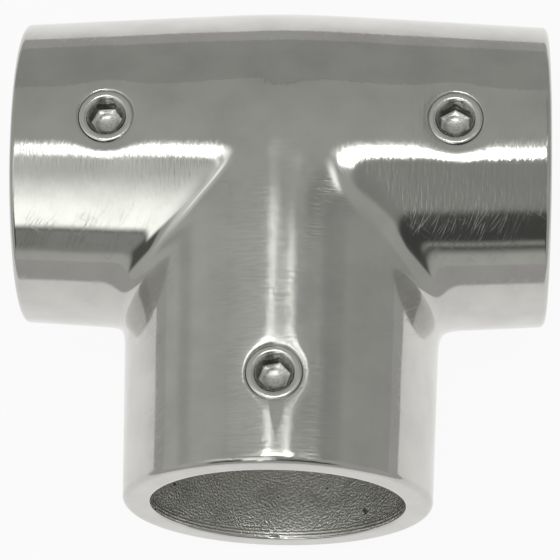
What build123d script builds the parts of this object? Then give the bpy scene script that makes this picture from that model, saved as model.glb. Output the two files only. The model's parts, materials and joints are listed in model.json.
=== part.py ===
from build123d import *
from math import radians, tan
import os

# A 90 degree tee for handrail tube: a cast and polished stainless body with three hexagon-socket
# set screws. One tube passes through the run, another goes up the stem until it meets the first.
#
# Millimetres. The fitting lies on its back, so that its set screws face +Z. The origin is where the
# axes of the two bores cross. The run lies along X, and the stem points along -Y.

# The tube, and its gap all round in the bore
tube_diameter = 25.4
tube_gap = 0.1

# The body. Each arm tapers towards its mouth, and a large radius joins the run's two tapers.
run_length = 54.0
stem_length = 35.7  # from the run's axis to the stem's mouth
mouth_wall = 2.75  # at each of the three mouths
run_taper = 3.1  # degrees, between the side of the run and its axis
middle_radius = 150.0  # of the run's outline, where its two tapers join
side_step = 0.5  # how far the stem's sides lie inside the run's peak at the run's axis

# Edges of the body
junction_fillet = 1.6
rim_chamfer = 0.5  # outer edge of each mouth
hole_break = 0.2  # outer edge of each screw hole

# Places of the set screws, from the mouth of their own arm
run_screw_inset = 9.6
stem_screw_inset = 9.1

# The set screws: M6 cup points, with the thread as a plain cylinder of its mean diameter
thread_diameter = 5.35
thread_gap = 0.05
screw_length = 2.5
screw_recess = 0.35  # from the body's surface to the screw's face
face_chamfer = 0.25
key_width = 3.0  # across the flats of the hexagon
key_depth = 1.85
key_lead = 0.35  # how far the cone at the socket's mouth spreads beyond the flats
key_lead_angle = 60  # between that cone and the screw's axis
cup_diameter = 3.0
cup_depth = 0.25
tip_chamfer = 0.5

half_run = run_length / 2
bore_radius = tube_diameter / 2 + tube_gap
mouth_radius = bore_radius + mouth_wall
run_peak = mouth_radius + half_run * tan(radians(run_taper))  # where the two tapers would meet
stem_root_radius = run_peak - side_step
hole_radius = thread_diameter / 2 + thread_gap

downwards = (Align.CENTER, Align.CENTER, Align.MAX)
upwards = (Align.CENTER, Align.CENTER, Align.MIN)


def run_radius_at(distance):
    """Outer radius of a tapered arm of the run, this far from the run's middle."""
    return run_peak - distance * tan(radians(run_taper))


def stem_radius_at(distance):
    """Outer radius of the stem, this far from the run's axis."""
    return stem_root_radius + (mouth_radius - stem_root_radius) * distance / stem_length


def corner_at(profile, point):
    """The corner of a flat profile that lies at a point."""
    return profile.vertices().sort_by_distance(point).first


def run_bar():
    """The run as a solid bar with both rims chamfered."""
    rims = [(-half_run, mouth_radius), (half_run, mouth_radius)]
    peak = (0, run_peak)
    outline = Polyline((-half_run, 0), rims[0], peak, rims[1], (half_run, 0), close=True)
    profile = fillet(corner_at(make_face(outline.edges()), peak), middle_radius)
    profile = chamfer([corner_at(profile, rim) for rim in rims], rim_chamfer)
    return revolve(profile, Axis.X)


def stem_bar():
    """The stem as a solid bar from the run's axis to its mouth, with its rim chamfered."""
    rim = (mouth_radius, -stem_length)
    outline = Polyline((0, 0), (stem_root_radius, 0), rim, (0, -stem_length), close=True)
    profile = make_face(outline.edges())
    profile = chamfer(corner_at(profile, rim), rim_chamfer)
    return revolve(profile, Axis.Y)


def outer_form():
    """The solid outside of the body: the run and the stem, blended where they meet."""
    run = run_bar()
    stem = stem_bar()
    tee = run + stem
    junction = new_edges(run, stem, combined=tee)
    return fillet(junction, junction_fillet)


def bores():
    """The two bores, which open into each other."""
    run_bore = Plane.left * Cylinder(bore_radius, run_length)
    stem_bore = Plane.front * Cylinder(bore_radius, stem_length, align=upwards)
    return run_bore + stem_bore


def drill(body, seat):
    """Cut a screw's hole, and break its outer edge."""
    tool = seat * Cylinder(hole_radius, bore_radius)
    drilled = body - tool
    outer_edge = new_edges(body, tool, combined=drilled).sort_by(Axis.Z).last
    return chamfer(outer_edge, hole_break)


def tee_body(seats):
    """The casting, bored for the tubes and drilled for the screws."""
    body = outer_form() - bores()
    for seat in seats:
        body = drill(body, seat)
    return body


def socket(turn):
    """The hexagon socket, with a cone that leads the key in."""
    flats = RegularPolygon(key_width / 2, 6, major_radius=False, rotation=turn)
    hexagon = extrude(flats, -key_depth)
    lead_depth = key_lead / tan(radians(key_lead_angle))
    lead = Cone(key_width / 2, key_width / 2 + key_lead, lead_depth, align=downwards)
    return hexagon + lead


def set_screw(turn):
    """A cup-point set screw about Z, with its face at zero and its point below."""
    screw = Cylinder(thread_diameter / 2, screw_length, align=downwards)
    screw = chamfer(screw.faces().sort_by(Axis.Z).last.edges(), face_chamfer)
    screw = chamfer(screw.faces().sort_by(Axis.Z).first.edges(), tip_chamfer)
    cup = Cone(cup_diameter / 2, 0, cup_depth, align=upwards)
    return screw - Location((0, 0, -screw_length)) * cup - socket(turn)


run_screw_x = half_run - run_screw_inset
run_screw_z = run_radius_at(run_screw_x) - screw_recess
stem_screw_y = stem_screw_inset - stem_length
stem_screw_z = stem_radius_at(-stem_screw_y) - screw_recess

# The middle of each screw's face, and how far its socket happens to be turned
screws = {
    "set_screw_left": (Location((-run_screw_x, 0, run_screw_z)), 4),
    "set_screw_right": (Location((run_screw_x, 0, run_screw_z)), 30),
    "set_screw_stem": (Location((0, stem_screw_y, stem_screw_z)), 13),
}

os.makedirs("parts", exist_ok=True)
body = tee_body([seat for seat, turn in screws.values()])
export_step(body, "parts/tee_body.step")
for name, (seat, turn) in screws.items():
    export_step(seat * set_screw(turn), f"parts/{name}.step")
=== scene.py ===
"""A polished stainless tee for handrail tube, lying on its back on a white table.

Millimetres here: mesh() turns them into metres. Every place and size of the fitting is worked out
from the frame, or is a named value below.
"""

import json
import math

import bmesh
import bpy
import numpy as np
from mathutils import Matrix, Vector


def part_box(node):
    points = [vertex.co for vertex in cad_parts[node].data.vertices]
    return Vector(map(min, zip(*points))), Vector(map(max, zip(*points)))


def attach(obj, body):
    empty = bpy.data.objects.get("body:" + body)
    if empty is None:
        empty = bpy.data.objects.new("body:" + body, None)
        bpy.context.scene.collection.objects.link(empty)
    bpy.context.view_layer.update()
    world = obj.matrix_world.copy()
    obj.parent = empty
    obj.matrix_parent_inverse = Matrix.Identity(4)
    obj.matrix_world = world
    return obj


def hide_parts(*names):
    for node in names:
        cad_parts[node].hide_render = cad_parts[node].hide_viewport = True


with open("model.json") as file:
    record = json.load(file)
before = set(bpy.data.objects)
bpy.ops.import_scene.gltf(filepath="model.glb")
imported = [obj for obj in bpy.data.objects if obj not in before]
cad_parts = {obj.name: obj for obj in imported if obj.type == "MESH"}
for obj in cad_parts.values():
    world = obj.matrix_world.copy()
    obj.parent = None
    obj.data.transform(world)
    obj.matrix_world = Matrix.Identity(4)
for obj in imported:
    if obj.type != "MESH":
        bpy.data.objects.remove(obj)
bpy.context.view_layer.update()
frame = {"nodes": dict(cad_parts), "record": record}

# ---------------------------------------------------------------- sizes, from the frame
MM = 0.001


def mount(name):
    """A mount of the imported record."""
    return next(m for m in frame["record"]["mounts"] if m["name"] == name)


low, high = (np.array(corner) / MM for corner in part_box("tee_body"))
BORE = mount("run_bore")["dims"]["r_mm"]
HALF_RUN = high[0]
STEM_END = -low[1]
BARREL = high[2]  # outer radius of the run at its middle

# ---------------------------------------------------------------- sizes of the casting's surface
WALL = 2.75  # at the three mouths
MOUTH = BORE + WALL  # outer radius there
TAPER = 0.054  # slope of the run's arms
INSET = 0.28  # how far the stem's sides lie inside the run's radius, at the run's axis
ROOT = BARREL - INSET  # outer radius of the stem there
RIM = 0.65  # rounding of each mouth's outer edge
RIM_IN = 0.2  # rounding of each mouth's inner edge
BLEND_LEFT = 2.5  # radius of the fold between the barrels, on the stem's left
BLEND_RIGHT = 7.0  # and on its right, where it was polished more
BLEND_CORNER = 2.7  # and where the barrels meet at right angles
BLEND_CHANGE = 2.5  # distance from the middle at which left has mostly turned into right
CORNER_BEND = 0.45  # how bent the fold is, from 0 to 1, where the corner's radius takes over
BLEND_WIDTH = 1.5  # width of a blend of radius 1
CROWN_BLEND = 0.8  # radius of the blend at the front, where the barrels run flush
CROWN_REACH = 8.0  # how far it reaches along both arms
CROWN_BACK = 3.0  # and how far behind the run's axis
CROWN_FULL = INSET  # how much fuller than its sides the stem is at the front, so that it is flush
FULL_REACH = 12.0  # and how far along the stem
SINK = (0.045, 0.0003)  # times the square and the fourth power: how the stem sinks in behind the axis
DISH_DEPTH = 0.18  # how far the surface is worn down at the edge of each screw hole
DISH_WIDTH = 0.65  # how far from the hole that wear reaches
LIP_LENGTH = 1.5  # length of the wear on the stem's crown, next to its mouth
LIP_WEAR = 0.11  # times the square of the distance into it: its depth
LIP_MIDDLE = 0.1  # where across the stem it is deepest
LIP_WIDTH = 3.0  # and how far it reaches to each side
HOLE = 2.725  # radius of a screw hole
HOLE_ROUND = 0.3  # rounding of its outer edge
HOLE_STEP = 0.06  # how much wider it opens in the bore. close_seams() fills the step
PATCH = 4.2  # reach of the fine patch of mesh that carries each hole

# The set screws. Heights are measured from the face
THREAD_GAP = 0.015
THREAD = HOLE - THREAD_GAP  # radius of the thread's crests
THREAD_DEPTH = 0.22
THREAD_TOP = -0.35  # height where the thread ends
THREAD_FADE = 0.3  # length over which it fades out at both ends
PITCH = 1.0
FACE_RING = ((THREAD, -0.1), (2.65, -0.05), (2.5, -0.012), (2.3, 0.0), (2.16, -0.02), (2.04, -0.08))
KEY = 3.0  # across the flats of the socket
KEY_CORNER = 1.7  # from the socket's axis to its rounded corners
LEAD = 1.88  # radius of the cone that leads the key in
LEAD_TOP = -0.3  # height where that cone starts
LEAD_SLOPE = 1.73  # how much faster it narrows than it goes down
SOCKET = 1.95  # depth of the socket
PILOT = 1.15  # radius of the drilled hole that the socket was broached in
CUP = 1.5  # radius of the cup in the point
POINT = 0.4  # height of the cone outside the cup

# The meshes
AROUND = 256  # mesh lines around each arm
ALONG = 64  # rows along each arm's outside
BORE_ROWS = 30  # and along its bore
EDGE_ROWS = 8  # rows that round a mouth's outer edge, or a screw hole's
FINE_ROWS = 4  # rows of a mouth's flat ring and of its inner edge, and of a screw hole's wall
RINGS = 21  # rings of the patch round a screw hole
INNER_RINGS = 6  # and of the patch in the bore
SCREW_LINES = 192  # mesh lines around a screw
THREAD_ROWS = 40
SAME = 5  # decimals of a millimetre to which points have to agree to be joined


def axis_of(node):
    """Where a set screw's axis passes, as (x, y), and the height of the screw's face."""
    a, b = (np.array(corner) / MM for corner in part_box(node))
    return (a[0] + b[0]) / 2, (a[1] + b[1]) / 2, b[2]


SCREWS = {name: axis_of(name) for name in sorted(frame["nodes"]) if name != "tee_body"}

# ---------------------------------------------------------------- the outer surface, as a distance

TINY = 1e-6  # keeps a divisor above zero


def run_radius(x):
    """Outer radius of the run: two tapers whose meeting is rounded off."""
    peak = MOUTH + TAPER * HALF_RUN
    soft = (peak - BARREL) / TAPER
    return peak - TAPER * np.sqrt(x * x + soft * soft)


def stem_radius(distance):
    """Outer radius of the stem, this far from the run's axis."""
    return ROOT + (MOUTH - ROOT) * distance / STEM_END


def dish(x, y, z):
    """How far polishing has worn the surface down around the screw holes."""
    worn = np.zeros_like(x)
    for cx, cy, _ in SCREWS.values():
        away = np.hypot(x - cx, y - cy)
        worn += np.where(z > 0, DISH_DEPTH * np.exp(-np.maximum(away - HOLE, 0) / DISH_WIDTH), 0.0)
    return worn


def worn_lip(x, y, z):
    """How far the polishing wheel has worn the surface down where it ran off the stem's crown."""
    run_off = np.maximum(-y - (STEM_END - LIP_LENGTH), 0)
    across = np.exp(-(((x - LIP_MIDDLE) / LIP_WIDTH) ** 2))
    return np.where(z > 0, LIP_WEAR * run_off**2 * across, 0.0)


def skin(p):
    """Signed distance from the casting's outer surface, roughly.

    The two barrels, a and b, are joined by a smooth minimum whose width k varies along the fold.
    """
    x, y, z = p.T
    run_away = np.hypot(y, z)
    stem_away = np.hypot(x, z)
    a = run_away - run_radius(x)
    b = stem_away - stem_radius(-y)
    behind = np.maximum(y, 0)
    b = b + SINK[0] * behind**2 + SINK[1] * behind**4
    front = np.maximum(z, 0) / np.maximum(stem_away, TINY)
    b = b - CROWN_FULL * front**4 * np.exp(-((y / FULL_REACH) ** 2))
    flush = (z * z) / np.maximum(run_away * stem_away, TINY)
    bend = np.clip(1 - flush, 0, 1)
    rightwards = 0.5 + 0.5 * np.tanh(x / BLEND_CHANGE)
    fold = BLEND_LEFT + (BLEND_RIGHT - BLEND_LEFT) * rightwards
    fold = fold + (BLEND_CORNER - fold) * np.tanh((bend / CORNER_BEND) ** 2)
    near = np.exp(-(x * x + y * y) / CROWN_REACH**2) / (1 + np.exp(np.clip(y - CROWN_BACK, -40, 40)))
    plateau = np.where(z > 0, CROWN_BLEND * near, 0.0)
    k = BLEND_WIDTH * (fold * bend + plateau) + TINY
    h = np.maximum(k - np.abs(a - b), 0) / k
    blended = np.minimum(a, b) - h**3 * k / 6
    level = plateau * BLEND_WIDTH / 6  # takes back what the blend adds to a crown that is flush
    return blended + level + dish(x, y, z) + worn_lip(x, y, z)


def slope(p, step=1e-3):
    """Unit gradient of skin()."""
    g = np.empty_like(p)
    for i in range(3):
        d = np.zeros(3)
        d[i] = step
        g[:, i] = skin(p + d) - skin(p - d)
    return g / np.linalg.norm(g, axis=1, keepdims=True)


def settle(p, along=None):
    """Move points onto the outer surface, along its slope or a given direction."""
    p = p.copy()
    for _ in range(8):
        g = slope(p)
        if along is None:
            p -= g * skin(p)[:, None]
        else:
            steepness = np.maximum(np.abs((g * along).sum(1)), 0.2)
            p -= along * (skin(p) / steepness)[:, None]
    return p


# ---------------------------------------------------------------- building blocks for meshes


def steps(count, last=1.0):
    """Even steps from just above 0 up to last."""
    return np.linspace(0, last, count + 1)[1:]


def close_seams(mesh):
    """Join the open edges below each screw hole, and turn every face outwards."""
    work = bmesh.new()
    work.from_mesh(mesh)
    for cx, cy, _ in SCREWS.values():
        seam = []
        for edge in work.edges:
            x, y, _ = (edge.verts[0].co + edge.verts[1].co) / 2 / MM
            if edge.is_boundary and math.hypot(x - cx, y - cy) < PATCH:
                seam.append(edge)
        if seam:
            bmesh.ops.bridge_loops(work, edges=seam)
    bmesh.ops.recalc_face_normals(work, faces=work.faces[:])
    work.to_mesh(mesh)
    work.free()


class Shape:
    """Points and faces that become one mesh. Points that coincide are joined."""

    def __init__(self):
        self.points = []
        self.count = 0
        self.quads = []
        self.finishes = []

    def add(self, points):
        """Add points, and return their numbers in the same arrangement."""
        points = np.asarray(points, float)
        numbers = np.arange(points.size // 3).reshape(points.shape[:-1]) + self.count
        self.points.append(points.reshape(-1, 3))
        self.count += points.size // 3
        return numbers

    def sheet(self, rows, skip=None, finish=0):
        """Join closed rows of point numbers. skip is (first row, last row, first, last)."""
        rows = np.asarray(rows)
        after = np.roll(rows, -1, axis=1)
        quads = np.stack([rows[:-1], after[:-1], after[1:], rows[1:]], -1)
        keep = np.ones(quads.shape[:2], bool)
        if skip:
            keep[skip[0] : skip[1], skip[2] : skip[3]] = False
        self.quads.append(quads[keep])
        self.finishes.append(np.full(len(quads[keep]), finish))

    def mesh(self, name, sharp_above=math.radians(38), normals=None, at=(0, 0, 0)):
        """Make the object. normals(points) gives the exact normals, NaN where Blender's are used."""
        points = np.concatenate(self.points)
        quads = np.concatenate(self.quads)
        rounded = np.round(points, SAME) + 0.0  # which also turns -0.0 into 0.0
        _, first, same = np.unique(rounded, axis=0, return_index=True, return_inverse=True)
        points = points[first]
        faces = []
        finishes = []
        for quad, finish in zip(same.reshape(-1)[quads].tolist(), np.concatenate(self.finishes)):
            face = list(dict.fromkeys(quad))
            if len(face) > 2:
                faces.append(face)
                finishes.append(finish)
        mesh = bpy.data.meshes.new(name)
        mesh.from_pydata((points * MM).tolist(), [], faces)
        mesh.polygons.foreach_set("material_index", finishes)
        mesh.validate()
        close_seams(mesh)
        mesh.shade_smooth()
        mesh.set_sharp_from_angle(angle=sharp_above)
        if normals:
            at_corner = np.empty(len(mesh.loops) * 3)
            mesh.corner_normals.foreach_get("vector", at_corner)
            at_corner = at_corner.reshape(-1, 3)
            vertex = np.empty(len(mesh.loops), int)
            mesh.loops.foreach_get("vertex_index", vertex)
            exact = normals(points)[vertex]
            close = (exact * at_corner).sum(1) > math.cos(sharp_above)
            at_corner = np.where(close[:, None], exact, at_corner)
            mesh.normals_split_custom_set(at_corner.tolist())
        obj = bpy.data.objects.new(name, mesh)
        obj.location = Vector(at) * MM
        bpy.context.scene.collection.objects.link(obj)
        return obj


# ---------------------------------------------------------------- the casting


def arm_frame(arm):
    """Unit vectors of an arm: along it to its mouth, and the two across it."""
    return {
        "left": np.array([[-1, 0, 0], [0, 1, 0], [0, 0, 1]], float),
        "right": np.array([[1, 0, 0], [0, 1, 0], [0, 0, 1]], float),
        "stem": np.array([[0, -1, 0], [1, 0, 0], [0, 0, 1]], float),
    }[arm]


ANGLES = np.arange(AROUND) * 2 * math.pi / AROUND
POLISHED, CAST = 0, 1  # the two finishes of the casting
ON_SURFACE = 2e-3  # how close to the outer surface a point of it lies


def ring(arm, distance, radius, angles=ANGLES):
    """Points round an arm's axis. distance and radius may be given for each angle."""
    along, across, up = arm_frame(arm)
    distance = np.broadcast_to(distance, angles.shape)[:, None]
    radius = np.broadcast_to(radius, angles.shape)[:, None]
    return along * distance + radius * (across * np.cos(angles)[:, None] + up * np.sin(angles)[:, None])


def parting(arm, radius):
    """How far from the origin each line of an arm starts: at the middle, or at the mitre."""
    across = radius * np.cos(ANGLES)
    return np.abs(across) if arm == "stem" else np.maximum(-across, 0.0)


def length_of(arm):
    """How far from the origin an arm's mouth is."""
    return STEM_END if arm == "stem" else HALF_RUN


def outer_rows(arm):
    """Rows of points on the outer surface, from the mitre to where the rim's rounding starts."""
    end = length_of(arm) - RIM
    start = parting(arm, BARREL)
    rows = []
    for i in range(ALONG + 1):
        u = i / ALONG
        eased = u * (0.55 + 0.45 * u)  # the rows lie closer together near the mitre
        rows.append(settle(ring(arm, start + (end - start) * eased, BARREL)))
    _, across, up = arm_frame(arm)
    outward = across * np.cos(ANGLES)[:, None] + up * np.sin(ANGLES)[:, None]
    flat = ring(arm, end, MOUTH)
    for _ in range(4):
        flat -= outward * skin(flat)[:, None]
    rows[-1] = flat
    return rows


def rim_rows(arm):
    """The mouth: its rounded outer edge, its flat ring and its inner edge."""
    end = length_of(arm)
    at_end = MOUTH + TAPER * RIM
    rows = []
    for turn in steps(EDGE_ROWS, math.pi / 2):
        rows.append(ring(arm, end - RIM + RIM * math.sin(turn), at_end - RIM + RIM * math.cos(turn)))
    for radius in np.linspace(at_end - RIM, BORE + RIM_IN, FINE_ROWS + 1)[1:]:
        rows.append(ring(arm, end, radius))
    for turn in steps(FINE_ROWS, math.pi / 2):
        distance = end - RIM_IN + RIM_IN * math.cos(turn)
        rows.append(ring(arm, distance, BORE + RIM_IN - RIM_IN * math.sin(turn)))
    return rows


def bore_rows(arm):
    """The bore, from the mouth back to the mitre with the other bores."""
    end = length_of(arm) - RIM_IN
    start = parting(arm, BORE)
    return [ring(arm, end + (start - end) * u, BORE) for u in steps(BORE_ROWS)]


def block_round(row_points, centre):
    """The block of a grid that lies round a hole: its first and last rows, and lines."""
    points = np.asarray(row_points)
    near = np.hypot(*(points[..., :2] - centre).T).T < PATCH
    i = near[:, AROUND // 4].nonzero()[0]
    middle = (i[0] + i[-1]) // 2
    j = (near[middle] & (points[middle, :, 2] > 0)).nonzero()[0]
    return i[0], i[-1], j[0], j[-1]


def edge_of_block(numbers, block):
    """The point numbers round a block of a grid, in order."""
    i0, i1, j0, j1 = block
    return np.concatenate(
        [numbers[i0, j0:j1], numbers[i0:i1, j1], numbers[i1, j1:j0:-1], numbers[i1:i0:-1, j0]]
    )


def circle_over(edge_points, centre, radius):
    """Points on a circle about a screw's axis, one for each point of a block's edge."""
    away = edge_points[:, :2] - centre
    angle = np.unwrap(np.arctan2(away[:, 1], away[:, 0]))
    even = angle[0] + np.sign(angle[-1] - angle[0]) * np.arange(len(angle)) * 2 * math.pi / len(angle)
    even += (angle - even).mean()
    return centre + radius * np.stack([np.cos(even), np.sin(even)], -1)


def on_skin(xy):
    """Points of the outer surface above given places in X and Y."""
    p = np.column_stack([xy, np.full(len(xy), BARREL)])
    return settle(p, along=np.array([0.0, 0.0, 1.0]))


def in_bore(xy, arm):
    """Points on the bore's upper wall at given places in X and Y."""
    sideways = xy[:, 0] if arm == "stem" else xy[:, 1]
    return np.column_stack([xy, np.sqrt(BORE**2 - sideways**2)])


def screw_hole(shape, edge, edge_points, centre, arm):
    """The fine patch round a screw hole, its rounded edge and its wall down to the bore."""
    lip = HOLE + HOLE_ROUND
    circle = circle_over(edge_points, centre, lip)
    rows = [edge]
    for u in steps(RINGS):
        eased = 1 - (1 - u) ** 1.6  # the rings lie closer together near the hole
        rows.append(shape.add(on_skin(edge_points[:, :2] + (circle - edge_points[:, :2]) * eased)))
    start = on_skin(circle)
    corner = on_skin(centre + (circle - centre) * HOLE / lip)
    under = corner - [0, 0, HOLE_ROUND]
    for u in steps(EDGE_ROWS):
        rows.append(shape.add((1 - u) ** 2 * start + 2 * u * (1 - u) * corner + u * u * under))
    bottom = in_bore(corner[:, :2], arm)
    for u in steps(FINE_ROWS):
        rows.append(shape.add(under + (bottom - under) * u))
    shape.sheet(rows)


def bore_opening(shape, edge, edge_points, centre, arm):
    """The patch of the bore's wall round the inner end of a screw hole."""
    circle = circle_over(edge_points, centre, HOLE + HOLE_STEP)
    rows = [edge]
    for u in steps(INNER_RINGS):
        rows.append(shape.add(in_bore(edge_points[:, :2] + (circle - edge_points[:, :2]) * u, arm)))
    shape.sheet(rows, finish=CAST)


def pierced(shape, rows, centre, arm, opening, finish):
    """A wall given as rows of points, with an opening in it for a screw. Returns its last row."""
    numbers = np.array([shape.add(row) for row in rows])
    block = block_round(rows, centre)
    shape.sheet(numbers, skip=block, finish=finish)
    edge = edge_of_block(numbers, block)
    opening(shape, edge, np.concatenate(rows)[edge - numbers[0, 0]], centre, arm)
    return numbers[-1]


def casting():
    """The whole body: three arms that meet at their mitres, with their bores and screw holes."""
    shape = Shape()
    for arm in ("left", "right", "stem"):
        centre = np.array(SCREWS["set_screw_" + arm][:2])
        outer_end = pierced(shape, outer_rows(arm), centre, arm, screw_hole, POLISHED)
        rim = [shape.add(row) for row in rim_rows(arm)]
        shape.sheet([outer_end, *rim], finish=POLISHED)
        pierced(shape, [rim_rows(arm)[-1], *bore_rows(arm)], centre, arm, bore_opening, CAST)
    return shape


def exact_normals(points):
    """Normals of the outer surface, and no number at points that aren't on it."""
    normals = slope(points)
    normals[np.abs(skin(points)) > ON_SURFACE] = np.nan
    return normals


body = casting().mesh("tee_casting", normals=exact_normals)
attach(body, "root")
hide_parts("tee_body")

# ---------------------------------------------------------------- the set screws

ROUND = np.arange(SCREW_LINES) * 2 * math.pi / SCREW_LINES
TURNS = {"set_screw_left": 4, "set_screw_right": 30, "set_screw_stem": 13}  # of the sockets, in degrees


def level_ring(radius, height):
    """Points round a screw's axis. radius and height may be given for each angle."""
    radius = np.broadcast_to(radius, ROUND.shape)
    height = np.broadcast_to(height, ROUND.shape)
    return np.stack([radius * np.cos(ROUND), radius * np.sin(ROUND), height], -1)


def hexagon(turn):
    """From a socket's axis to its wall, with the corners a little rounded."""
    off = (np.degrees(ROUND) - turn) % 60 - 30
    return np.minimum(KEY / 2 / np.cos(np.radians(off)), KEY_CORNER)


def thread_rows(bottom, top):
    """The thread, which fades out at both ends."""
    rows = []
    for height in np.linspace(bottom, top, THREAD_ROWS):
        turn = (height / PITCH - ROUND / (2 * math.pi)) % 1
        depth = THREAD_DEPTH * min(1, (height - bottom) / THREAD_FADE, (top - height) / THREAD_FADE)
        rows.append(level_ring(THREAD - depth * np.abs(2 * turn - 1), height))
    return rows


def face_rows():
    """The rounded ring of the face, down to the cone of the socket."""
    profile = (*FACE_RING, (1.96, -0.17), (LEAD, LEAD_TOP))
    return [level_ring(radius, height) for radius, height in profile]


def socket_rows(turn):
    """The cone that leads the key in, the hexagon's walls and the drilled bottom."""
    wall = hexagon(turn)
    foot = LEAD_TOP - (LEAD - wall) / LEAD_SLOPE
    rows = []
    for u in (0.5, 0.94, 1.0):
        rows.append(level_ring(LEAD + (wall - LEAD) * u, LEAD_TOP + (foot - LEAD_TOP) * u))
    for u in (0.03, 0.5, 0.97):
        rows.append(level_ring(wall - 0.015, foot + (-SOCKET - foot) * u))
    rows.append(level_ring(wall - 0.06, -SOCKET))
    for u in (0.4, 0.75, 1.0):  # the floor, which sinks towards the drilled hole
        radius = wall + (PILOT + 0.05 - wall) * u - 0.04 * (1 - u)
        rows.append(level_ring(radius, -SOCKET - 0.11 * u))
    for radius, height in ((PILOT, -0.12), (PILOT - 0.06, -0.17), (0.6, -0.27), (0.0, -0.32)):
        rows.append(level_ring(radius, -SOCKET + height))
    return rows


def tip_rows(length):
    """The cup at the point of the screw, and the cone outside it."""
    rows = []
    for radius, height in ((0.0, 0.24), (0.7, 0.2), (CUP, 0.0), (CUP + 0.12, 0.0), (2.35, 0.3)):
        rows.append(level_ring(radius, -length + height))
    return rows


def set_screw(name):
    """A cup-point set screw, with its axis and its face where the frame has them."""
    cx, cy, face = SCREWS[name]
    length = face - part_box(name)[0][2] / MM
    shape = Shape()
    rows = [*tip_rows(length), *thread_rows(-length + POINT, THREAD_TOP), *face_rows()]
    rows += socket_rows(TURNS[name])
    shape.sheet([shape.add(row) for row in rows])
    piece = shape.mesh(name + "_turned", sharp_above=math.radians(40), at=(cx, cy, face))
    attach(piece, "root")
    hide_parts(name)
    return piece


screws = [set_screw(name) for name in SCREWS]

# ---------------------------------------------------------------- materials


class Tree:
    """Short names for making shader nodes. A value may be a number or another node's output."""

    def __init__(self, owner):
        owner.use_nodes = True
        self.tree = owner.node_tree
        self.node = self.tree.nodes.new
        self.link = self.tree.links.new

    def put(self, socket, value):
        """Set a socket to a number, or link it to an output."""
        if isinstance(value, bpy.types.NodeSocket):
            self.link(value, socket)
        else:
            socket.default_value = value

    def math(self, operation, *values):
        """The result of a Math node."""
        node = self.node("ShaderNodeMath")
        node.operation = operation
        for socket, value in zip(node.inputs, values):
            self.put(socket, value)
        return node.outputs[0]

    def ramp(self, value, start, end, low=0.0, high=1.0):
        """Goes smoothly from low to high as value goes from start to end."""
        node = self.node("ShaderNodeMapRange")
        node.interpolation_type = "SMOOTHSTEP"
        for socket, given in zip(node.inputs, (value, start, end, low, high)):
            self.put(socket, given)
        return node.outputs[0]

    def mix(self, share, first, second):
        """Goes from first to second as share goes from 0 to 1."""
        node = self.node("ShaderNodeMix")
        self.put(node.inputs[0], share)
        self.put(node.inputs[2], first)
        self.put(node.inputs[3], second)
        return node.outputs[0]

    def blend_colours(self, share, first, second):
        """The same for two colours."""
        node = self.node("ShaderNodeMix")
        node.data_type = "RGBA"
        self.put(node.inputs[0], share)
        self.put(node.inputs[6], (*first, 1))
        self.put(node.inputs[7], (*second, 1))
        return node.outputs[2]

    def vector(self, *values):
        """A vector from its three parts."""
        node = self.node("ShaderNodeCombineXYZ")
        for socket, value in zip(node.inputs, values):
            self.put(socket, value)
        return node.outputs[0]

    def parts(self, vector):
        """The three parts of a vector."""
        node = self.node("ShaderNodeSeparateXYZ")
        self.link(vector, node.inputs[0])
        return node.outputs[0], node.outputs[1], node.outputs[2]

    def place(self):
        """The point being shaded, in the piece's own millimetres."""
        node = self.node("ShaderNodeVectorMath")
        node.operation = "SCALE"
        self.link(self.node("ShaderNodeTexCoord").outputs["Object"], node.inputs[0])
        node.inputs["Scale"].default_value = 1 / MM
        return self.parts(node.outputs[0])

    def noise(self, place, size, detail=2.0):
        """Smooth noise from 0 to 1 whose lumps have this size along each of the three directions."""
        node = self.node("ShaderNodeTexNoise")
        scaled = [self.math("DIVIDE", value, step) for value, step in zip(place, size)]
        self.link(self.vector(*scaled), node.inputs["Vector"])
        node.inputs["Scale"].default_value = 1.0
        node.inputs["Detail"].default_value = detail
        return node.outputs[0]

    def bumps(self, *layers):
        """The normal of a surface with layers of relief, each as a height, 0 to 1, and a depth in mm."""
        normal = None
        for height, depth in layers:
            node = self.node("ShaderNodeBump")
            self.put(node.inputs["Height"], height)
            node.inputs["Distance"].default_value = depth * MM
            if normal:
                self.link(normal, node.inputs["Normal"])
            normal = node.outputs[0]
        return normal


def metal(name):
    """A bare metal material, its tree and its shader."""
    material = bpy.data.materials.new(name)
    t = Tree(material)
    shader = t.tree.nodes["Principled BSDF"]
    shader.inputs["Metallic"].default_value = 1
    return material, t, shader


# Where the polish changes. Each is a pair of heights or distances between which it does so
FLANK = (11.5, 14.0)  # heights at which the arms' sides become their fronts
CROWN = (14.0, 15.8)  # heights at which the wheel's coarse marks come in
SCRATCHED = (14.5, 12.5)  # heights at which the diagonal scratches come in
OFF_FOLD = (0.9, 3.2)  # distances from the line of the fold at which all marks come in
OFF_MIDDLE = (4.0, 12.0)  # distances from the middle of the fitting at which the coarse ones do
SCRATCH = 0.03  # half the width of a scratch

# Roughness. Above 0.27 the denoiser takes polished steel for a matt surface, and draws hairs on it
ROUGH_RUN = 0.13  # where the marks are coarse on the run
ROUGH_STEM = 0.25  # and on the stem
ROUGH_FOLD = 0.05


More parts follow.
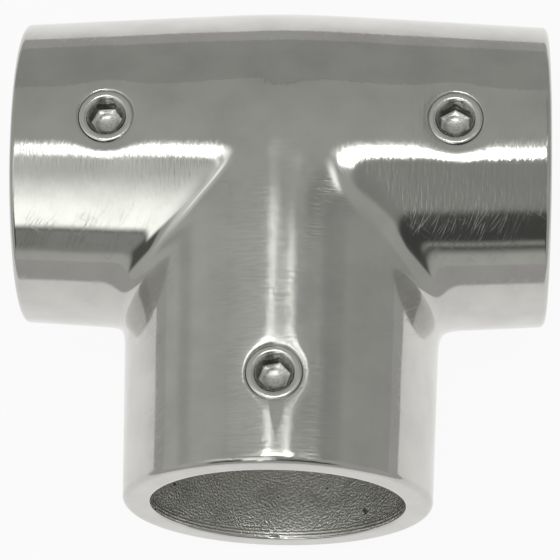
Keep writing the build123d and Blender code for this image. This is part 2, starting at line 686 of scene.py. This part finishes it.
def scratches(t, along, around, turn, length, spacing):
    """Straight fine scratches at an angle to the arm in degrees, as a mask. Sizes are in mm."""
    c, s = math.cos(math.radians(turn)), math.sin(math.radians(turn))
    u = t.math("ADD", t.math("MULTIPLY", along, c), t.math("MULTIPLY", around, s))
    v = t.math("SUBTRACT", t.math("MULTIPLY", around, c), t.math("MULTIPLY", along, s))
    v = t.math("DIVIDE", v, spacing)
    row = t.math("FLOOR", v)
    chance = t.node("ShaderNodeTexWhiteNoise")
    chance.noise_dimensions = "1D"
    t.link(t.math("ADD", row, turn + 0.5), chance.inputs["W"])
    off = t.math("ABSOLUTE", t.math("SUBTRACT", t.math("SUBTRACT", v, row), chance.outputs["Value"]))
    line = t.ramp(t.math("MULTIPLY", off, spacing), SCRATCH, 0.0)
    here = t.ramp(t.noise((u, row, turn), (length, 0.19, 1.0), 0.0), 0.56, 0.66)
    return t.math("MULTIPLY", line, here)


def buffed_tongue(t, x, from_mouth):
    """0 on the bright tongue that the wheel left below the stem's screw, and 1 elsewhere."""
    half = t.ramp(from_mouth, 5.7, 1.1, 0.55, -0.3)
    aside = t.math("SUBTRACT", t.math("ABSOLUTE", t.math("SUBTRACT", x, 0.3)), half)
    return t.math("MAXIMUM", t.ramp(aside, 0.0, 0.3), t.ramp(from_mouth, 6.2, 7.7))


def polished_steel():
    """Mirror polish with the wheel's marks running round each arm.

    They fade out at the fold, where the run's marks would meet the stem's.
    """
    material, t, shader = metal("polished_steel")
    x, y, z = t.place()
    down = t.math("MULTIPLY", y, -1.0)
    from_mouth = t.math("ADD", y, STEM_END)
    from_fold = t.math("SUBTRACT", down, t.math("ABSOLUTE", x))
    on_stem = t.ramp(from_fold, -0.6, 0.6)
    off_fold = t.ramp(t.math("ABSOLUTE", from_fold), *OFF_FOLD)
    along = t.mix(on_stem, x, y)
    around = t.math("MULTIPLY", t.math("ARCTAN2", t.mix(on_stem, y, x), z), BARREL)
    brushed = t.noise((along, around, 0.0), (0.3, 1.8, 1.0), 2.0)
    wavy = t.noise((x, y, z), (7.0, 7.0, 7.0), 0.0)
    smudge = t.noise((x, y, z), (4.0, 4.0, 4.0), 5.0)
    marks = scratches(t, along, around, 58, 3.0, 0.16)
    for turn, length, spacing in ((-38, 1.4, 0.45), (72, 4.0, 0.14)):
        marks = t.math("MAXIMUM", marks, scratches(t, along, around, turn, length, spacing))
    marks = t.math("MULTIPLY", marks, t.math("MULTIPLY", off_fold, t.ramp(z, *SCRATCHED)))
    marks = t.math("MULTIPLY", marks, t.ramp(smudge, 0.35, 0.6, 0.2, 1.0))
    from_middle = t.math("MAXIMUM", t.math("ABSOLUTE", x), down)
    later_on_right = t.math("MULTIPLY", on_stem, t.ramp(x, 0.0, 0.7, 0.0, 4.0))
    from_middle = t.math("SUBTRACT", from_middle, later_on_right)
    coarse = t.math("MULTIPLY", t.ramp(z, *CROWN), t.ramp(from_middle, *OFF_MIDDLE))
    coarse = t.math("MULTIPLY", coarse, t.ramp(from_mouth, 0.9, 1.6, 0.3, 1.0))
    coarse = t.math("MULTIPLY", coarse, buffed_tongue(t, x, from_mouth))
    coarse = t.math("MULTIPLY", coarse, t.ramp(brushed, 0.35, 0.6, 0.55, 1.0))
    brushed = t.mix(t.math("MULTIPLY", off_fold, t.ramp(z, *FLANK, 0.05, 1.0)), 0.5, brushed)
    rough = t.mix(coarse, t.ramp(z, *FLANK, 0.055, 0.1), t.mix(on_stem, ROUGH_RUN, ROUGH_STEM))
    rough = t.math("ADD", rough, t.ramp(smudge, 0.35, 0.75, -0.01, 0.015))
    rough = t.math("ADD", rough, t.math("MULTIPLY", marks, 0.1))
    rough = t.mix(off_fold, ROUGH_FOLD, rough)
    t.put(shader.inputs["Roughness"], rough)
    shader.inputs["Anisotropic"].default_value = 1.0
    across = t.math("MULTIPLY", on_stem, t.math("SIGN", t.math("MULTIPLY", x, -1.0)))
    t.put(shader.inputs["Tangent"], t.vector(t.math("SUBTRACT", 1.0, on_stem), across, 0.0))
    tint = t.ramp(smudge, 0.3, 0.8)
    t.put(shader.inputs["Base Color"], t.blend_colours(tint, (0.645, 0.635, 0.605), (0.57, 0.56, 0.535)))
    t.put(shader.inputs["Normal"], t.bumps((wavy, 0.05), (brushed, 0.02), (marks, -0.002)))
    return material


TURNED = (1.8, 0.6)  # depths in a bore at which its cast wall becomes a turned one
GROOVE = 0.35  # from one groove of the turned wall to the next


def cast_steel():
    """The bores as they came from the mould: dark, lumpy and pitted, but turned at the mouths."""
    material, t, shader = metal("cast_steel")
    x, y, z = t.place()
    from_run_mouth = t.math("SUBTRACT", HALF_RUN, t.math("ABSOLUTE", x))
    depth = t.math("MINIMUM", from_run_mouth, t.math("ADD", STEM_END, y))
    turned = t.ramp(depth, *TURNED, 0.0, 0.7)
    lumps = t.noise((x, y, z), (0.24, 0.24, 0.24), 3.0)
    swell = t.noise((x, y, z), (3.0, 3.0, 3.0), 2.0)
    pits = t.ramp(t.noise((x, y, z), (1.0, 1.0, 1.0), 0.0), 0.22, 0.18)
    grooves = t.math("SINE", t.math("MULTIPLY", depth, 2 * math.pi / GROOVE))
    relief = t.mix(turned, lumps, t.math("MULTIPLY_ADD", grooves, 0.08, 0.5))
    t.put(shader.inputs["Roughness"], t.mix(turned, t.ramp(lumps, 0.3, 0.7, 0.29, 0.42), 0.29))
    dark = t.math("MAXIMUM", pits, t.ramp(swell, 0.5, 0.7, 0.0, 0.25))
    t.put(shader.inputs["Base Color"], t.blend_colours(dark, (0.76, 0.75, 0.72), (0.2, 0.195, 0.19)))
    t.put(shader.inputs["Normal"], t.bumps((relief, 0.18), (pits, -0.08)))
    return material


def screw_steel():
    """A turned face and a duller socket. The socket's cone and walls are painted dark as shade, and it
    has dark specks inside.
    """
    material, t, shader = metal("screw_steel")
    x, y, z = t.place()
    radius = t.math("SQRT", t.math("ADD", t.math("MULTIPLY", x, x), t.math("MULTIPLY", y, y)))
    rings = t.noise((radius, z, 0.0), (0.09, 0.4, 1.0), 2.0)
    specks = t.noise((x, y, z), (0.25, 0.25, 0.25), 3.0)
    inside = t.ramp(z, -0.12, -0.4)
    # painted shade: darkens the socket's cone and walls, but not the face or the floor
    painted_wall_shade = t.math("MULTIPLY", t.ramp(z, -0.12, -0.45), t.ramp(z, 0.05 - SOCKET, 0.15 - SOCKET))
    painted_wall_shade = t.math("MULTIPLY", painted_wall_shade, t.ramp(specks, 0.3, 0.7, 1.0, 0.75))
    t.put(shader.inputs["Roughness"], t.mix(inside, t.ramp(specks, 0.3, 0.7, 0.16, 0.26), 0.3))
    # dark specks inside the socket, then joined with the painted shade of the walls
    shade_and_specks = t.math("MULTIPLY", inside, t.ramp(specks, 0.5, 0.75, 0.0, 0.5))
    shade_and_specks = t.math("MAXIMUM", painted_wall_shade, shade_and_specks)
    t.put(shader.inputs["Base Color"], t.blend_colours(shade_and_specks, (0.7, 0.69, 0.66), (0.12, 0.115, 0.11)))
    t.put(shader.inputs["Normal"], t.bumps((rings, 0.0012), (specks, 0.004)))
    return material


body.data.materials.append(polished_steel())
body.data.materials.append(cast_steel())
fastener = screw_steel()
for screw in screws:
    screw.data.materials.append(fastener)

# ---------------------------------------------------------------- table, light and camera

# The table's lit middle, in mm: its centre, and its reach from there
LIT_CENTRE = (5, 25)
LIT_REACH = (150, 107)
OUTSIDE = 0.42  # how bright the rest of the table is
SHINING = 0.92  # share of the table's look that is its own light. The rest holds the shadow


def table_paper():
    """White to the eye with a faint shadow. Its reflections show that only the middle is lit."""
    material = bpy.data.materials.new("table_paper")
    t = Tree(material)
    surface = t.tree.nodes["Principled BSDF"]
    x, y, z = t.place()
    fibre = t.noise((x, y, z), (0.6, 0.6, 0.6), 3.0)
    shade = t.blend_colours(fibre, (0.86, 0.86, 0.86), (0.9, 0.9, 0.9))
    t.put(surface.inputs["Base Color"], shade)
    surface.inputs["Roughness"].default_value = 0.9
    t.put(surface.inputs["Normal"], t.bumps((fibre, 0.02)))
    path = t.node("ShaderNodeLightPath")
    dx = t.math("DIVIDE", t.math("SUBTRACT", x, LIT_CENTRE[0]), LIT_REACH[0])
    dy = t.math("DIVIDE", t.math("SUBTRACT", y, LIT_CENTRE[1]), LIT_REACH[1])
    away = t.math("SQRT", t.math("ADD", t.math("MULTIPLY", dx, dx), t.math("MULTIPLY", dy, dy)))
    lit = t.mix(t.ramp(away, 0.93, 1.07), t.ramp(away, 0.2, 0.9, 1.0, 0.84), OUTSIDE)
    white = t.node("ShaderNodeEmission")
    t.put(white.inputs["Strength"], t.math("MAXIMUM", path.outputs["Is Camera Ray"], lit))
    seen = t.math("MAXIMUM", path.outputs["Is Camera Ray"], path.outputs["Is Glossy Ray"])
    seen = t.math("MAXIMUM", seen, path.outputs["Is Transmission Ray"])
    mix = t.node("ShaderNodeMixShader")
    t.link(t.math("MULTIPLY", seen, SHINING), mix.inputs[0])
    t.link(surface.outputs[0], mix.inputs[1])
    t.link(white.outputs[0], mix.inputs[2])
    t.link(mix.outputs[0], t.tree.nodes["Material Output"].inputs["Surface"])
    return material


bpy.ops.mesh.primitive_plane_add(size=4, location=(0, 0, low[2] * MM))
table = bpy.context.object
table.name = "table"
table.data.materials.append(table_paper())

# The camera, as fitted to the photograph's outlines
VIEW_TILT = math.radians(19.9)  # from straight above, towards the stem
VIEW_YAW = math.radians(2.58)  # and towards the right
VIEW_ROLL = math.radians(1.41)
VIEW_DISTANCE = 319.0  # from the origin, along the line of sight
VIEW_SHIFT = (0.593, 10.857)  # how far the origin lies to the right of that line, and above it
LENS = 196.7


def photographer():
    """The camera, above the fitting and a little towards the stem."""
    flat = math.cos(VIEW_TILT)
    back = Vector((math.sin(VIEW_YAW) * flat, -math.sin(VIEW_TILT), math.cos(VIEW_YAW) * flat))
    level = Vector((math.cos(VIEW_YAW), 0, -math.sin(VIEW_YAW)))
    upright = level.cross(-back)
    right = level * math.cos(VIEW_ROLL) + upright * math.sin(VIEW_ROLL)
    above = upright * math.cos(VIEW_ROLL) - level * math.sin(VIEW_ROLL)
    place = back * VIEW_DISTANCE - right * VIEW_SHIFT[0] - above * VIEW_SHIFT[1]
    camera = bpy.data.objects.new("camera", bpy.data.cameras.new("camera"))
    bpy.context.scene.collection.objects.link(camera)
    turn = Matrix((right, above, back)).transposed().to_4x4()
    camera.matrix_world = Matrix.Translation(place * MM) @ turn
    camera.data.lens = LENS
    camera.data.clip_start = 0.01
    return camera


bpy.context.scene.camera = photographer()

# ---------------------------------------------------------------- the studio


class Sky:
    """The studio's light by direction, in degrees east and north of straight overhead."""

    def __init__(self, t):
        self.t = t
        across, along, height = t.parts(t.node("ShaderNodeTexCoord").outputs["Generated"])
        down = t.math("DEGREES", t.math("ARCCOSINE", height))
        bearing = t.math("ARCTAN2", along, across)
        self.east = t.math("MULTIPLY", down, t.math("COSINE", bearing))
        self.north = t.math("MULTIPLY", down, t.math("SINE", bearing))

    def panel(self, light, centre, half, edge, value, turn=0.0):
        """Blend a panel with soft edges into the light: a lamp, or a dark part of the room."""
        t = self.t
        dx = t.math("SUBTRACT", self.east, centre[0])
        dy = t.math("SUBTRACT", self.north, centre[1])
        c, s = math.cos(math.radians(turn)), math.sin(math.radians(turn))
        u = t.math("ADD", t.math("MULTIPLY", dx, c), t.math("MULTIPLY", dy, s))
        v = t.math("SUBTRACT", t.math("MULTIPLY", dy, c), t.math("MULTIPLY", dx, s))
        inside = [
            t.ramp(t.math("ABSOLUTE", w), h + e / 2, h - e / 2) for w, h, e in zip((u, v), half, edge)
        ]
        return t.mix(t.math("MULTIPLY", *inside), light, value)


LEFT_WALL = 0.49  # brightness of the room's left wall
LOW_FRONT = 0.5  # and of the front, just above the table

# What hangs or stands in the room, each over the ones before it. In degrees: its centre east and
# north of overhead, half its size and the width of its soft edges. Then its light, and any turn
ROOM = (
    ((-70, 18), (5, 30), (8, 8), 0.41),  # dim strip of the left wall
    ((-36, 17), (0.6, 8), (1, 4), 0.38),  # thin dark line beside it
    ((0, 74), (70, 25), (30, 3), 0.34),  # far wall
    ((0, 48.5), (38, 0.5), (30, 0.8), 0.3),  # dark line along its edge
    ((32, 24), (15, 18), (8, 8), 0.3),  # dim part of the ceiling, at the back right
    ((74, 22), (30, 30), (30, 16), 0.38),  # right wall
    ((8, -27), (13, 18), (8, 8), 0.28),  # dim part of the ceiling, at the front
    ((-2, -63), (42, 15), (10, 8), 0.1),  # dark strip at the front
    ((16, -58), (16, 12), (12, 12), 0.07),  # its darkest part
    ((-11, -72), (8, 9), (6, 6), 0.3),  # two lighter things that stand in it
    ((9, -72), (6, 1.5), (12, 5), 0.36),
    ((-30, -18), (20, 16), (26, 18), 0.85),  # glow beside the window
)
WINDOW = ((-12.5, -37.5), (10, 23.5), (6, 6))  # brighter towards its foot
LAMPS = (
    ((22, 5.7), (8, 1.6), (10, 2.8), 1.6, 20),  # strips that light the two arms of the run
    ((-27, -9), (13, 2), (10, 4), 1.4, 36),
    ((-3, -3), (12, 5), (4, 5), 1.4),  # soft light overhead
    ((-12.5, -4.5), (4, 1.8), (3, 2), 0.75),  # its dimmer left end
    ((0.9, -4), (4, 3.4), (2, 3), 4.0),  # glow between the two lamps
    ((-5.6, -3.5), (2.1, 3.5), (2.5, 3), 14.0, 24),  # the two lamps
    ((7.4, -4), (2.3, 3.5), (2.5, 3), 12.5, -24),
)


def studio():
    """The room: grey walls, a dark strip at the front, a window and the lamps overhead."""
    world = bpy.data.worlds.new("studio")
    bpy.context.scene.world = world
    t = Tree(world)
    sky = Sky(t)
    light = t.ramp(sky.north, 12, 40, 0.44, 0.4)
    light = t.mix(t.ramp(sky.east, -35, -60), light, LEFT_WALL)
    light = t.mix(t.ramp(sky.north, -76, -90), light, LOW_FRONT)
    for thing in ROOM:
        light = sky.panel(light, *thing)
    light = sky.panel(light, *WINDOW, t.ramp(sky.north, -16, -50, 0.68, 1.6))
    for lamp in LAMPS:
        light = sky.panel(light, *lamp)

    path = t.node("ShaderNodeLightPath")
    room = t.node("ShaderNodeBackground")
    t.put(room.inputs["Strength"], light)
    room.inputs["Color"].default_value = (0.98, 1.0, 0.97, 1)
    backdrop = t.node("ShaderNodeBackground")
    backdrop.inputs["Color"].default_value = (1, 1, 1, 1)
    choose = t.node("ShaderNodeMixShader")
    t.link(path.outputs["Is Camera Ray"], choose.inputs[0])
    t.link(room.outputs[0], choose.inputs[1])
    t.link(backdrop.outputs[0], choose.inputs[2])
    t.link(choose.outputs[0], t.tree.nodes["World Output"].inputs["Surface"])


studio()
bpy.context.scene.view_settings.view_transform = "Standard"
